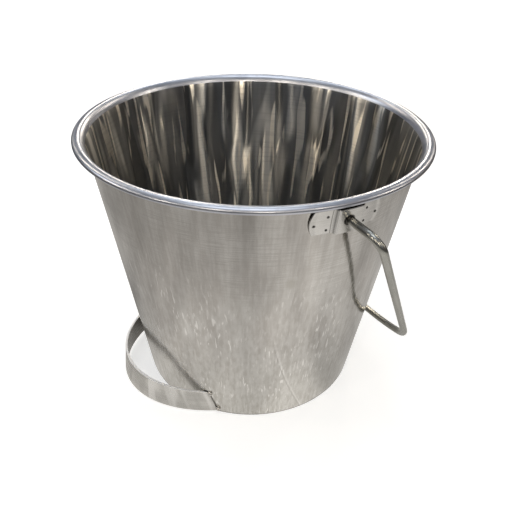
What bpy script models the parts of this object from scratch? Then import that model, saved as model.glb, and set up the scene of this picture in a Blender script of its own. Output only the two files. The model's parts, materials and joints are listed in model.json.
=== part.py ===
"""Stainless feed bucket: a tapered wall with a curled rim, a flanged base, two spot-welded
ears, a swinging wire bail and a welded strap at the foot for tilting.

Metres, +Z up. The origin is the middle of the base at the surface the bucket stands on.
The bail's hinge runs along X, the tilting strap is on the -Y side, and the bail hangs on +Y.
"""

from math import cos, pi, radians, sin, tau

import bmesh
import bpy
from mathutils import Matrix, Vector

# Bucket wall: one spun sheet, a straight cone whose top edge is curled outwards
SHEET = 0.0008
FOOT_RADIUS = 0.1066  # outside of the wall where it stands
RIM_HEIGHT = 0.2439  # middle of the curl
MOUTH_RADIUS = 0.1427  # outside of the cone carried up to RIM_HEIGHT
ROUND_SIDES = 72
BALL_SIDES = 14

# Curl: a flattened roll, hollow, open underneath next to the wall
CURL_OUTER_RADIUS = 0.1525
CURL_HALF_WIDTH = 0.0042
CURL_HALF_HEIGHT = 0.0029
CURL_START = radians(140)
CURL_END = radians(-160)
CURL_STEPS = 11
FLARE_DEPTH = 0.0090  # the cone bends out into the curl this far below its middle
FLARE_STEPS = 4
CONE_PULL = 0.6  # how far the flare follows the cone, as a share of its depth
CURL_PULL = 0.3  # how far it runs into the curl's own direction

# Base: a pressed disc whose turned-up flange is welded inside the wall's foot
BASE_THICKNESS = 0.0010
FLANGE_HEIGHT = 0.0065
FLANGE_BEND = 0.0020
BEND_STEPS = 3
JOINT_GAP = 0.0003  # between neighbouring pieces
SHARP_ANGLE = radians(35)  # steeper edges stay crisp when shaded

# Bail: one wire, a pin into each ear, a shoulder, a leaning leg, a corner and a bowed grip
WIRE_RADIUS = 0.0031
HINGE_HEIGHT = 0.2268
SHOULDER_START = 0.1665  # along the hinge, where the pin starts to bend
SHOULDER_RADIUS = 0.0100
LEG_LEAN = radians(15.3)
BAIL_REACH = 0.2222  # from the hinge to the middle of the grip
CORNER_RADIUS = 0.0390
GRIP_TURN = radians(32)  # how far the grip curves from its middle to a corner
HANG_ANGLE = radians(58.65)  # below level, with the grip just off the wall
WIRE_SIDES = 12
SHOULDER_STEPS = 10
LEG_STEPS = 4
CORNER_STEPS = 8
GRIP_STEPS = 7
HEAD_RADIUS = 0.0046
HEAD_THICKNESS = 0.0018
HEAD_STANDOFF = 0.0011  # from the wall to the inner face of the head

# Ear: a strip welded flat to the wall on either side of a raised channel for the bail's head
EAR_THICKNESS = 0.0012
EAR_HALF_HEIGHT = 0.0103
EAR_HALF_LENGTH = 0.0268  # to the corners
EAR_END_BULGE = 0.0030
CHANNEL_FOOT = 0.0122  # half-width where the channel leaves the wall
CHANNEL_TOP = 0.0090  # half-width of its front
CHANNEL_RISE = 0.0037  # of the front above the flat of the strip
FLUTE_HEIGHT = 0.0003
FLUTES = 2  # on each flank of the channel
FLANK_STEPS = 8
PIN_HOLE_RADIUS = 0.0036
PIN_HOLE_SIDES = 24
EAR_COLUMNS = 48
EAR_ROWS = 6
WELD_MARKS = ((0.0157, 0.0045), (0.0157, -0.0068), (0.0240, -0.0018))  # along the strip, up
WELD_MARK_RADIUS = 0.0011
WELD_MARK_DEPTH = 0.0005

# Tilting strap: a flat bar bent to an oval arc, standing on edge round the foot and splayed
STRAP_HALF_SPAN = 0.0955  # half-width of the oval across the strap's upper edge
STRAP_REACH = 0.1341  # from the bucket's axis to the outermost point of its upper edge
STRAP_SPLAY = 0.0028  # how much further out the lower edge is at the strap's middle
STRAP_TUCK = 0.0028  # how much further in the lower edge would be at the oval's sides
STRAP_THICKNESS = 0.0022
STRAP_BOTTOM = 0.0022
STRAP_TOP = 0.0276
STRAP_HALF_TURN = radians(75)
STRAP_STEPS = 40
STRAP_END_GAP = 0.0009  # left between the weld tacks
CUTTER_LOW = -0.0100  # the wall cutters reach from here to twice the strap's height
END_HALVINGS = 24
TACK_RADIUS = 0.0030
TACK_HEIGHTS = {"top": 0.0259, "bottom": 0.0052}


def clear_scene():
    for obj in list(bpy.data.objects):
        bpy.data.objects.remove(obj, do_unlink=True)


def steel(name, colour, roughness):
    material = bpy.data.materials.new(name)
    material.use_nodes = True
    shader = material.node_tree.nodes["Principled BSDF"]
    shader.inputs["Base Color"].default_value = (*colour, 1.0)
    shader.inputs["Metallic"].default_value = 1.0
    shader.inputs["Roughness"].default_value = roughness
    return material


def object_from(bm, name, material=None):
    """An object at the origin from a closed bmesh, shaded smooth with sharp corners kept."""
    bmesh.ops.recalc_face_normals(bm, faces=bm.faces)
    mesh = bpy.data.meshes.new(name)
    bm.to_mesh(mesh)
    bm.free()
    obj = bpy.data.objects.new(name, mesh)
    bpy.context.scene.collection.objects.link(obj)
    mesh.shade_smooth()
    mesh.set_sharp_from_angle(angle=SHARP_ANGLE)
    if material:
        mesh.materials.append(material)
    return obj


def cutter_from(bm, name):
    obj = object_from(bm, name)
    obj.hide_render = True
    obj.display_type = "WIRE"
    return obj


def cut(obj, cutter):
    boolean = obj.modifiers.new(cutter.name, "BOOLEAN")
    boolean.operation = "DIFFERENCE"
    boolean.solver = "EXACT"
    boolean.object = cutter


def add_ball(bm, centre, radius):
    size = {"u_segments": BALL_SIDES, "v_segments": BALL_SIDES // 2, "radius": radius}
    bmesh.ops.create_uvsphere(bm, matrix=Matrix.Translation(centre), **size)


def grid_solid(front, back):
    """A closed bmesh between two matching grids of points."""
    bm = bmesh.new()
    sheets = [[[bm.verts.new(p) for p in row] for row in sheet] for sheet in (front, back)]
    rows, columns = len(front), len(front[0])
    for sheet in sheets:
        for i in range(rows - 1):
            for j in range(columns - 1):
                bm.faces.new((sheet[i][j], sheet[i][j + 1], sheet[i + 1][j + 1], sheet[i + 1][j]))
    edge = [(0, j) for j in range(columns)] + [(i, columns - 1) for i in range(1, rows)]
    edge += [(rows - 1, j) for j in range(columns - 2, -1, -1)]
    edge += [(i, 0) for i in range(rows - 2, 0, -1)]
    for (i, j), (k, m) in zip(edge, edge[1:] + edge[:1]):
        bm.faces.new((sheets[0][i][j], sheets[0][k][m], sheets[1][k][m], sheets[1][i][j]))
    return bm


def turned(profile, sides):
    """A closed bmesh from a closed profile of (radius, height) points turned about Z."""
    bm = bmesh.new()
    rings = []
    for step in range(sides):
        angle = tau * step / sides
        rings.append([bm.verts.new((r * cos(angle), r * sin(angle), z)) for r, z in profile])
    count = len(profile)
    for ring, following in zip(rings, rings[1:] + rings[:1]):
        for i in range(count):
            j = (i + 1) % count
            bm.faces.new((ring[i], following[i], following[j], ring[j]))
    return bm


def wall_radius(z, offset=0.0):
    """Outside of the cone at height z, plus a distance out from it."""
    return FOOT_RADIUS + (MOUTH_RADIUS - FOOT_RADIUS) * z / RIM_HEIGHT + offset


def on_wall(along, z, offset):
    """A point off the wall, at a distance along its girth from the +X side."""
    angle = along / wall_radius(HINGE_HEIGHT)
    radius = wall_radius(z, offset)
    return Vector((radius * cos(angle), radius * sin(angle), z))


def offset_line(line, distance):
    """The open line moved sideways, to its left, by a distance."""
    moved = []
    for i, point in enumerate(line):
        before = line[max(i - 1, 0)]
        after = line[min(i + 1, len(line) - 1)]
        run = (after - before).normalized()
        moved.append(point + distance * Vector((-run.y, run.x)))
    return moved


def curve_point(start, start_pull, end_pull, end, t):
    """A cubic curve between two points."""
    s = 1 - t
    return start * s**3 + start_pull * 3 * s * s * t + end_pull * 3 * s * t * t + end * t**3


def wall_line():
    """Middle of the wall's sheet, from its foot over the curl to the curl's hidden edge."""
    half = SHEET / 2
    centre = Vector((CURL_OUTER_RADIUS - CURL_HALF_WIDTH, RIM_HEIGHT))
    wide, high = CURL_HALF_WIDTH - half, CURL_HALF_HEIGHT - half
    bend_height = RIM_HEIGHT - FLARE_DEPTH
    foot = Vector((wall_radius(0, -half), 0))
    bend = Vector((wall_radius(bend_height, -half), bend_height))
    rise = (bend - foot).normalized()
    turns = [CURL_START + (CURL_END - CURL_START) * i / CURL_STEPS for i in range(CURL_STEPS + 1)]
    curl = [centre + Vector((wide * cos(t), high * sin(t))) for t in turns]
    entry = Vector((wide * sin(CURL_START), -high * cos(CURL_START))).normalized()
    pulls = (bend + rise * FLARE_DEPTH * CONE_PULL, curl[0] - entry * FLARE_DEPTH * CURL_PULL)
    steps = [i / FLARE_STEPS for i in range(FLARE_STEPS)]
    flare = [curve_point(bend, *pulls, curl[0], t) for t in steps]
    return [foot] + flare + curl


def make_wall():
    line = wall_line()
    outside = offset_line(line, SHEET / 2)
    inside = offset_line(line, -SHEET / 2)
    outside[0].y = inside[0].y = 0.0
    profile = [(p.x, p.y) for p in outside + inside[::-1]]
    material = steel("wall_steel", (0.60, 0.59, 0.56), 0.28)
    return object_from(turned(profile, ROUND_SIDES), "bucket_wall", material)


def make_base():
    inset = SHEET + JOINT_GAP
    outer_low = wall_radius(0, -inset)
    outer_high = wall_radius(FLANGE_HEIGHT, -inset)
    inner_high = outer_high - BASE_THICKNESS
    bend_centre = Vector((outer_low - BASE_THICKNESS - FLANGE_BEND, BASE_THICKNESS + FLANGE_BEND))
    bend = []
    for step in range(BEND_STEPS + 1):
        angle = -pi / 2 * step / BEND_STEPS
        bend.append((bend_centre.x + FLANGE_BEND * cos(angle), bend_centre.y + FLANGE_BEND * sin(angle)))
    profile = [(outer_low, 0.0), (outer_high, FLANGE_HEIGHT), (inner_high, FLANGE_HEIGHT), *bend]
    bm = bmesh.new()
    angles = [tau * i / ROUND_SIDES for i in range(ROUND_SIDES)]
    rings = [[bm.verts.new((r * cos(a), r * sin(a), z)) for a in angles] for r, z in profile]
    for lower, upper in zip(rings, rings[1:]):
        for i in range(ROUND_SIDES):
            j = (i + 1) % ROUND_SIDES
            bm.faces.new((lower[i], lower[j], upper[j], upper[i]))
    bm.faces.new(rings[0])
    bm.faces.new(rings[-1])
    return object_from(bm, "bucket_base", steel("base_steel", (0.58, 0.57, 0.54), 0.25))


def channel_rise(along):
    """Height of the ear's middle channel above the strip, with a fluted flank."""
    reach = (CHANNEL_FOOT - abs(along)) / (CHANNEL_FOOT - CHANNEL_TOP)
    share = min(max(reach, 0.0), 1.0)
    smooth = share * share * (3 - 2 * share)
    return CHANNEL_RISE * smooth + FLUTE_HEIGHT * sin(tau * FLUTES * share) * share


def ear_columns():
    """Positions along the strip as shares of its half-length, closer together on the flanks."""
    shares = set()
    for i in range(EAR_COLUMNS + 1):
        shares.add(round(-1 + 2 * i / EAR_COLUMNS, 6))
    for side in (-1, 1):
        for i in range(FLANK_STEPS + 1):
            along = CHANNEL_TOP + (CHANNEL_FOOT - CHANNEL_TOP) * i / FLANK_STEPS
            shares.add(round(side * along / EAR_HALF_LENGTH, 6))
    return sorted(shares)


def ear_sheet(offset):
    """Grid of points over one face of the ear."""
    rows = []
    for i in range(EAR_ROWS + 1):
        up = -1 + 2 * i / EAR_ROWS
        z = HINGE_HEIGHT + up * EAR_HALF_HEIGHT
        bulge = EAR_END_BULGE * (1 - up * up)
        row = []
        for share in ear_columns():
            along = share * EAR_HALF_LENGTH + bulge * abs(share) ** 3 * (1 if share > 0 else -1)
            row.append(on_wall(along, z, offset + channel_rise(share * EAR_HALF_LENGTH)))
        rows.append(row)
    return rows


def pin_hole_cutter():
    bm = bmesh.new()
    reach = CHANNEL_RISE + 4 * EAR_THICKNESS
    middle = wall_radius(HINGE_HEIGHT, reach / 2 + EAR_THICKNESS)
    placed = Matrix.Translation((middle, 0, HINGE_HEIGHT)) @ Matrix.Rotation(pi / 2, 4, "Y")
    size = {"radius1": PIN_HOLE_RADIUS, "radius2": PIN_HOLE_RADIUS, "depth": reach}
    bmesh.ops.create_cone(bm, cap_ends=True, segments=PIN_HOLE_SIDES, matrix=placed, **size)
    return bm


def weld_mark_cutters():
    """Small balls that leave one round dent for each spot weld."""
    bm = bmesh.new()
    ball = (WELD_MARK_RADIUS**2 + WELD_MARK_DEPTH**2) / (2 * WELD_MARK_DEPTH)
    outside = JOINT_GAP + EAR_THICKNESS
    for along, up in WELD_MARKS:
        for side in (-1, 1):
            add_ball(bm, on_wall(side * along, HINGE_HEIGHT + up, outside + ball - WELD_MARK_DEPTH), ball)
    return bm


def make_ear(name, turn):
    material = bpy.data.materials.get("ear_steel") or steel("ear_steel", (0.58, 0.57, 0.54), 0.30)
    sheets = [ear_sheet(offset) for offset in (JOINT_GAP, JOINT_GAP + EAR_THICKNESS)]
    ear = object_from(grid_solid(*sheets), name, material)
    for bm, suffix in ((pin_hole_cutter(), "pin_hole"), (weld_mark_cutters(), "weld_marks")):
        cutter = cutter_from(bm, f"{name}_{suffix}")
        cutter.rotation_euler.z = turn
        cut(ear, cutter)
    ear.rotation_euler.z = turn
    return ear


def grip_and_leg():
    """Grip radius and leg length that make the bail's corner meet both smoothly."""
    along = Vector((-sin(LEG_LEAN), cos(LEG_LEAN)))
    across = Vector((cos(LEG_LEAN), sin(LEG_LEAN)))
    leg_start = Vector((SHOULDER_START, SHOULDER_RADIUS)) + SHOULDER_RADIUS * across
    tip = Vector((sin(GRIP_TURN), cos(GRIP_TURN)))
    target = Vector((0, BAIL_REACH)) - CORNER_RADIUS * tip - leg_start + CORNER_RADIUS * across
    swing = Vector((-tip.x, 1 - tip.y))
    scale = along.x * swing.y - along.y * swing.x
    leg = (target.x * swing.y - target.y * swing.x) / scale
    grip = (along.x * target.y - along.y * target.x) / scale
    return leg_start, along, leg, grip


def arc(centre, radius, start, end, steps):
    turns = [start + (end - start) * i / steps for i in range(steps + 1)]
    return [centre + radius * Vector((cos(t), sin(t))) for t in turns]


def half_bail():
    """Middle line of half the wire in its own plane, (along the hinge, away from it)."""
    leg_start, along, leg, grip = grip_and_leg()
    pin_start = wall_radius(HINGE_HEIGHT, HEAD_STANDOFF)
    shoulder_centre = Vector((SHOULDER_START, SHOULDER_RADIUS))
    shoulder = arc(shoulder_centre, SHOULDER_RADIUS, -pi / 2, LEG_LEAN, SHOULDER_STEPS)
    leg_end = leg_start + along * leg
    corner_centre = leg_end - CORNER_RADIUS * Vector((cos(LEG_LEAN), sin(LEG_LEAN)))
    corner = arc(corner_centre, CORNER_RADIUS, LEG_LEAN, pi / 2 - GRIP_TURN, CORNER_STEPS)
    bow = arc(Vector((0, BAIL_REACH - grip)), grip, pi / 2 - GRIP_TURN, pi / 2, GRIP_STEPS)
    legs = [leg_start + along * leg * i / LEG_STEPS for i in range(1, LEG_STEPS)]
    return [Vector((pin_start, 0))] + shoulder + legs + corner + bow[1:]


def bail_point(flat):
    """A point of the bail's own plane, swung down to where it hangs."""
    return Vector((flat.x, flat.y * cos(HANG_ANGLE), HINGE_HEIGHT - flat.y * sin(HANG_ANGLE)))


def wire_ring(bm, centre, run, radius):
    """A ring of points round the wire, which runs in the bail's plane."""
    normal = Vector((0, sin(HANG_ANGLE), cos(HANG_ANGLE)))
    side = run.cross(normal).normalized()
    turns = [tau * i / WIRE_SIDES for i in range(WIRE_SIDES)]
    return [bm.verts.new(centre + radius * (cos(t) * side + sin(t) * normal)) for t in turns]


def bail_stations():
    """(centre, direction, radius) along the whole wire, heads included."""
    half = half_bail()
    line = [bail_point(p) for p in half]
    line += [Vector((-p.x, p.y, p.z)) for p in line[-2::-1]]
    stations = []
    for i, point in enumerate(line):
        run = (line[min(i + 1, len(line) - 1)] - line[max(i - 1, 0)]).normalized()
        stations.append((point, run, WIRE_RADIUS))
    first, last = stations[0], stations[-1]
    inward = Vector((1, 0, 0)) * HEAD_THICKNESS
    head = [(first[0], first[1], HEAD_RADIUS), (first[0] + inward, first[1], HEAD_RADIUS)]
    head += [(first[0] + inward, first[1], WIRE_RADIUS)]
    tail = [(last[0] - inward, last[1], WIRE_RADIUS), (last[0] - inward, last[1], HEAD_RADIUS)]
    tail += [(last[0], last[1], HEAD_RADIUS)]
    return head + stations[1:-1] + tail


def make_bail():
    bm = bmesh.new()
    rings = [wire_ring(bm, *station) for station in bail_stations()]
    for ring, following in zip(rings, rings[1:]):
        for i in range(WIRE_SIDES):
            j = (i + 1) % WIRE_SIDES
            bm.faces.new((ring[i], ring[j], following[j], following[i]))
    bm.faces.new(rings[0])
    bm.faces.new(rings[-1])
    bail = object_from(bm, "bail", steel("bail_steel", (0.62, 0.61, 0.58), 0.16))
    hinge = Vector((0, 0, HINGE_HEIGHT))
    bail.data.transform(Matrix.Translation(-hinge))
    bail.location = hinge
    return bail


def strap_point(turn, z, inset):
    """A point of the bar at a turn from its outermost place, inset from its outer face."""
    lean = STRAP_SPLAY * cos(turn) ** 2 - STRAP_TUCK * sin(turn) ** 2
    outward = lean * (STRAP_TOP - z) / (STRAP_TOP - STRAP_BOTTOM) - inset
    span = STRAP_HALF_SPAN + outward
    reach = STRAP_REACH + outward
    return Vector((span * sin(turn), -reach * cos(turn), z))


def strap_solid():
    """The bar's arc standing on edge, running into the wall at both ends."""
    turns = [STRAP_HALF_TURN * (2 * step / STRAP_STEPS - 1) for step in range(STRAP_STEPS + 1)]
    faces = []
    for inset in (0.0, STRAP_THICKNESS):
        faces.append([[strap_point(turn, z, inset) for turn in turns] for z in (STRAP_BOTTOM, STRAP_TOP)])
    return grid_solid(*faces)


def wall_cutter(name, clearance):
    """The space of the wall and everything inside it, with a clearance all round."""
    low, high = CUTTER_LOW, 2 * STRAP_TOP
    profile_sides = 2 * ROUND_SIDES
    bm = bmesh.new()
    middle = Matrix.Translation((0, 0, (low + high) / 2))
    grow = 1 / cos(pi / profile_sides)
    bmesh.ops.create_cone(
        bm,
        cap_ends=True,
        segments=profile_sides,
        radius1=wall_radius(low, clearance) * grow,
        radius2=wall_radius(high, clearance) * grow,
        depth=high - low,
        matrix=middle,
    )
    return cutter_from(bm, name)


def strap_end(z, side):
    """Where the bar meets the wall at height z, just inside its outer face, by halving the turn."""
    inset = STRAP_THICKNESS / 4
    near, far = 0.0, STRAP_HALF_TURN
    for _ in range(END_HALVINGS):
        middle = (near + far) / 2
        point = strap_point(middle, z, inset)
        if point.xy.length > wall_radius(z):
            near = middle
        else:
            far = middle
    return strap_point(side * near, z, inset)


def tack_places():
    """Name and centre of each weld tack, where bar and wall meet."""
    for end, side in (("right", 1), ("left", -1)):
        for level, z in TACK_HEIGHTS.items():
            yield f"strap_tack_{end}_{level}", strap_end(z, side)


def make_tacks():
    wall_space = wall_cutter("wall_space_for_tacks", JOINT_GAP)
    material = steel("tack_steel", (0.66, 0.65, 0.63), 0.35)
    for name, centre in tack_places():
        bm = bmesh.new()
        add_ball(bm, centre, TACK_RADIUS)
        cut(object_from(bm, name, material), wall_space)


def make_strap():
    strap = object_from(strap_solid(), "tilt_strap", steel("strap_steel", (0.60, 0.59, 0.56), 0.24))
    scoops = bmesh.new()
    for _, centre in tack_places():
        add_ball(scoops, centre, TACK_RADIUS + JOINT_GAP)
    cut(strap, cutter_from(scoops, "tack_scoops"))
    cut(strap, wall_cutter("wall_space_for_strap", STRAP_END_GAP))


def main():
    clear_scene()
    make_wall()
    make_base()
    make_ear("ear_right", 0.0)
    make_ear("ear_left", pi)
    make_bail()
    make_strap()
    make_tacks()


main()
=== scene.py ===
"""Looks of the stainless feed bucket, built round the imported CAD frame.

Fine pieces stand for the CAD nodes: a spun wall with a curled rim, a pressed base, two
pressed ears, a wire bail, a flat tilting strap and its weld tacks. Metres, +Z up.
"""

import json
from math import cos, pi, radians, sin, tau

import bpy
import numpy as np
from mathutils import Matrix, Vector


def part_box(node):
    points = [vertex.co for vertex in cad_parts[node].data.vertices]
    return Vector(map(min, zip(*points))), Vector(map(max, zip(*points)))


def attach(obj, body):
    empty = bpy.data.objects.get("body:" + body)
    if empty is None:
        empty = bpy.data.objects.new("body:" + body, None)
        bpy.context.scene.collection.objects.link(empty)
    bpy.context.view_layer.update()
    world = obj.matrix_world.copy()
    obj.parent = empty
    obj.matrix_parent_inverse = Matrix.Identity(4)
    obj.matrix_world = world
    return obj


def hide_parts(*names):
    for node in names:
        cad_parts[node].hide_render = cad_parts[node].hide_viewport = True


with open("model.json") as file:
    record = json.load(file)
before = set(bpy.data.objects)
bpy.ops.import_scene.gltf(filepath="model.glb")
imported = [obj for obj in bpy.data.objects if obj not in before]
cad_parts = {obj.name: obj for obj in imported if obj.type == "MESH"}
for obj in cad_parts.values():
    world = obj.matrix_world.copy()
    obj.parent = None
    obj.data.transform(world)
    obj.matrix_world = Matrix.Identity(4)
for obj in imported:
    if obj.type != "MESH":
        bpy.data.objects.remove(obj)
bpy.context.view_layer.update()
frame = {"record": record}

SEED = 20
rng = np.random.default_rng(SEED)

# Sizes shared with the CAD model
SHEET = 0.0008
FOOT_RADIUS = 0.1066
MOUTH_RADIUS = 0.1427
CURL_HALF_WIDTH = 0.0042
CURL_HALF_HEIGHT = 0.0029
CURL_START = radians(140)
CURL_END = radians(-160)
FLARE_DEPTH = 0.0090
CONE_PULL = 0.6
CURL_PULL = 0.3
BASE_THICKNESS = 0.0010
FLANGE_HEIGHT = 0.0065
FLANGE_BEND = 0.0020
JOINT_GAP = 0.0003
WIRE_RADIUS = 0.0031
SHOULDER_START = 0.1665
SHOULDER_RADIUS = 0.0100
LEG_LEAN = radians(15.3)
BAIL_REACH = 0.2222
CORNER_RADIUS = 0.0390
GRIP_TURN = radians(32)
HANG_ANGLE = radians(58.65)
HEAD_RADIUS = 0.0046
HEAD_THICKNESS = 0.0018
HEAD_STANDOFF = 0.0011
EAR_THICKNESS = 0.0012
EAR_HALF_HEIGHT = 0.0103
EAR_HALF_LENGTH = 0.0268
EAR_END_BULGE = 0.0030
CHANNEL_FOOT = 0.0122
CHANNEL_TOP = 0.0090
CHANNEL_RISE = 0.0037
FLUTE_HEIGHT = 0.0003
FLUTES = 2
PIN_HOLE_RADIUS = 0.0036
WELD_MARKS = ((0.0157, 0.0045), (0.0157, -0.0068), (0.0240, -0.0018))
WELD_MARK_RADIUS = 0.0011
WELD_MARK_DEPTH = 0.0005
STRAP_HALF_SPAN = 0.0955
STRAP_REACH = 0.1341
STRAP_SPLAY = 0.0028
STRAP_TUCK = 0.0028
STRAP_THICKNESS = 0.0022
STRAP_HALF_TURN = radians(75)
STRAP_END_GAP = 0.0009

# Places read from the frame
wall_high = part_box("bucket_wall")[1]
strap_low, strap_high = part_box("tilt_strap")
HINGE_HEIGHT = frame["record"]["behaviour"]["joints"][0]["pos_m"][2]
CURL_OUTER_RADIUS = wall_high.x
RIM_HEIGHT = wall_high.z - CURL_HALF_HEIGHT
STRAP_BOTTOM = strap_low.z
STRAP_TOP = strap_high.z


# ---------------------------------------------------------------- mesh building


def mesh_object(name, points, faces, materials, flow=None, uv=None, face_material=None):
    """An object at the origin with smooth faces, a flow attribute and a grain UV map."""
    mesh = bpy.data.meshes.new(name)
    mesh.from_pydata(np.asarray(points, float).reshape(-1, 3).tolist(), [], faces)
    for material in materials:
        mesh.materials.append(material)
    if face_material is not None:
        mesh.polygons.foreach_set("material_index", np.asarray(face_material, np.int32))
    if flow is not None:
        attribute = mesh.attributes.new("flow", "FLOAT_VECTOR", "POINT")
        attribute.data.foreach_set("vector", np.asarray(flow, np.float32).ravel())
    if uv is not None:
        layer = mesh.uv_layers.new(name="grain")
        layer.data.foreach_set("uv", np.asarray(uv, np.float32).ravel())
    mesh.shade_smooth()
    obj = bpy.data.objects.new(name, mesh)
    bpy.context.scene.collection.objects.link(obj)
    return obj


def float_attribute(obj, name, values):
    attribute = obj.data.attributes.new(name, "FLOAT", "POINT")
    attribute.data.foreach_set("value", np.asarray(values, np.float32).ravel())


def loft(name, rings, materials, flow, grain, capped=True, closed=False, ring_material=None):
    """Skin over rings (stations x loop points x 3), each loop closed.

    grain is stations x (loop points + 1) x 2, with the seam point given twice, and one more
    station when the loft is closed. Caps are strips across a loop that is the same both ways.
    ring_material gives the material of each loop point, on a loft without caps.
    """
    stations, count = rings.shape[:2]
    spans = stations if closed else stations - 1
    i, j = np.meshgrid(np.arange(spans), np.arange(count), indexing="ij")
    corner_i = np.stack([i, i + 1, i + 1, i], -1).reshape(-1, 4)
    corner_j = np.stack([j, j, j + 1, j + 1], -1).reshape(-1, 4)
    faces = ((corner_i % stations) * count + corner_j % count).tolist()
    uv = grain[corner_i, corner_j].reshape(-1, 2).tolist()
    picked = None if ring_material is None else np.asarray(ring_material)[corner_j[:, 0]].tolist()
    if capped:
        for station, flip in ((0, False), (stations - 1, True)):
            for k in range(count // 2 - 1):
                strip = [k, k + 1, count - 2 - k, count - 1 - k]
                strip = strip[::-1] if flip else strip
                faces.append([station * count + s for s in strip])
                uv += [grain[station, s].tolist() for s in strip]
    return mesh_object(name, rings, faces, materials, flow, uv, picked)


def wall_radius(z, offset=0.0):
    """Outside of the cone at height z, plus a distance out from it."""
    return FOOT_RADIUS + (MOUTH_RADIUS - FOOT_RADIUS) * z / RIM_HEIGHT + offset


def smoothstep(low, high, x):
    t = np.clip((np.asarray(x, float) - low) / (high - low), 0, 1)
    return t * t * (3 - 2 * t)


def arc(centre, radius, turns):
    """Points round a centre in the plane, at the given turns."""
    return np.asarray(centre) + radius * np.stack([np.cos(turns), np.sin(turns)], -1)


def lengths_along(points):
    """Distance from the first point to each point of a line, along the line."""
    return np.concatenate([[0], np.cumsum(np.linalg.norm(np.diff(points, axis=0), axis=1))])


def grain_grid(along, across):
    """Grain UV of a loft, from the distances along it and those round its section."""
    return np.stack(np.meshgrid(along, across, indexing="ij"), -1)


# ---------------------------------------------------------------- materials


def add(tree, kind, inputs=None, **settings):
    """A node with its settings made and its inputs linked or set."""
    made = tree.nodes.new(kind)
    for key, value in settings.items():
        setattr(made, key, value)
    for key, value in (inputs or {}).items():
        if isinstance(value, bpy.types.NodeSocket):
            tree.links.new(value, made.inputs[key])
        else:
            made.inputs[key].default_value = value
    return made


def maths(tree, operation, *values, clamp=False):
    inputs = dict(enumerate(values))
    return add(tree, "ShaderNodeMath", inputs, operation=operation, use_clamp=clamp).outputs[0]


def flow_at(tree, scale):
    """The piece's own flow coordinates, scaled along each of them."""
    flow = add(tree, "ShaderNodeAttribute", attribute_name="flow").outputs["Vector"]
    moved = add(tree, "ShaderNodeMapping", {"Vector": flow, "Scale": scale})
    return moved.outputs[0]


def noise(tree, vector, scale, detail, rough, distortion=0.0):
    inputs = {
        "Vector": vector,
        "Scale": scale,
        "Detail": detail,
        "Roughness": rough,
        "Distortion": distortion,
    }
    return add(tree, "ShaderNodeTexNoise", inputs).outputs[0]


def ranged(tree, value, low, high, to_low=0.0, to_high=1.0):
    """The value taken smoothly from one range to another. It stops at both ends."""
    inputs = {"Value": value, "From Min": low, "From Max": high}
    inputs |= {"To Min": to_low, "To Max": to_high}
    return add(tree, "ShaderNodeMapRange", inputs, interpolation_type="SMOOTHSTEP").outputs[0]


def product(tree, first, second):
    return maths(tree, "MULTIPLY", first, second)


def dot(tree, vector, axis):
    inputs = {0: vector, 1: axis}
    return add(tree, "ShaderNodeVectorMath", inputs, operation="DOT_PRODUCT").outputs["Value"]


def tinted(tree, colour, factor, other):
    """The colour mixed towards another, an (r, g, b), by the factor."""
    inputs = {"Factor": factor, 6: colour, 7: (*other, 1)}
    return add(tree, "ShaderNodeMix", inputs, data_type="RGBA").outputs[2]


def layered(tree, colour, layers):
    """The colour, an (r, g, b) or a socket, with each (factor, colour) laid over it in turn."""
    if isinstance(colour, tuple):
        colour = (*colour, 1)
    for factor, other in layers:
        colour = tinted(tree, colour, factor, other)
    return colour


def steel(name, anisotropy=0.0, turn=0.0):
    """(material, tree, shader) of bare metal, with its grain along the UV map."""
    material = bpy.data.materials.new(name)
    material.use_nodes = True
    tree = material.node_tree
    shader = tree.nodes["Principled BSDF"]
    shader.inputs["Metallic"].default_value = 1.0
    if anisotropy:
        shader.inputs["Anisotropic"].default_value = anisotropy
        shader.inputs["Anisotropic Rotation"].default_value = turn
        tangent = add(tree, "ShaderNodeTangent", direction_type="UV_MAP", uv_map="grain")
        tree.links.new(tangent.outputs[0], shader.inputs["Tangent"])
    return material, tree, shader


def bumped(tree, height, distance, normal=None):
    inputs = {"Height": height, "Distance": distance, "Strength": 1.0}
    if normal is not None:
        inputs["Normal"] = normal
    return add(tree, "ShaderNodeBump", inputs).outputs[0]


def finish_steel(tree, shader, colour, rough, normal):
    tree.links.new(colour, shader.inputs["Base Color"])
    tree.links.new(rough, shader.inputs["Roughness"])
    tree.links.new(normal, shader.inputs["Normal"])


# The crease's angle round the bucket is height x (bend x height - slope)
CREASE_SLOPE = 4.643
CREASE_BEND = 14.66
CREASE_FADE = (0.125, 0.075)  # heights where its painted lines have gone and where they are whole
CREASE_SHARE = 0.45
STAIN_ANGLE = radians(-14.9)
STAIN_HEIGHT = 0.171
STAIN_EDGE = (0.0075, 0.0020)  # radii where it has gone and where it is whole
STAIN_SHARE = 0.40
SHADOW_OFFSET = 0.001  # of the channel's shadow from the middle of the ear
SHADOW_SIDES = (0.0125, 0.0105)  # half widths where the shadow has gone and where it is whole
SHADOW_TOP = (0.0022, 0.0012)  # the same, as heights above the ear's upper edge
SHADOW_FOOT = (-0.014, -0.008)


def wall_place(tree, shape):
    """(angle round the bucket, height) sockets from the separated flow."""
    return maths(tree, "ARCTAN2", shape.outputs[1], shape.outputs[0]), shape.outputs[2]


def crease_line(tree, shape, offset, width):
    """A thin line beside the crease that climbs in a curve from the wall's foot; the outside lays a
    painted highlight along one such line and painted shade along another.
    """
    angle, height = wall_place(tree, shape)
    line = product(tree, height, maths(tree, "MULTIPLY_ADD", height, CREASE_BEND, -CREASE_SLOPE))
    away = maths(tree, "MULTIPLY_ADD", maths(tree, "SUBTRACT", angle, line), FOOT_RADIUS, -offset)
    near = ranged(tree, maths(tree, "ABSOLUTE", away), width, 0.0, 0.0, CREASE_SHARE)
    return product(tree, near, ranged(tree, height, *CREASE_FADE))


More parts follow.
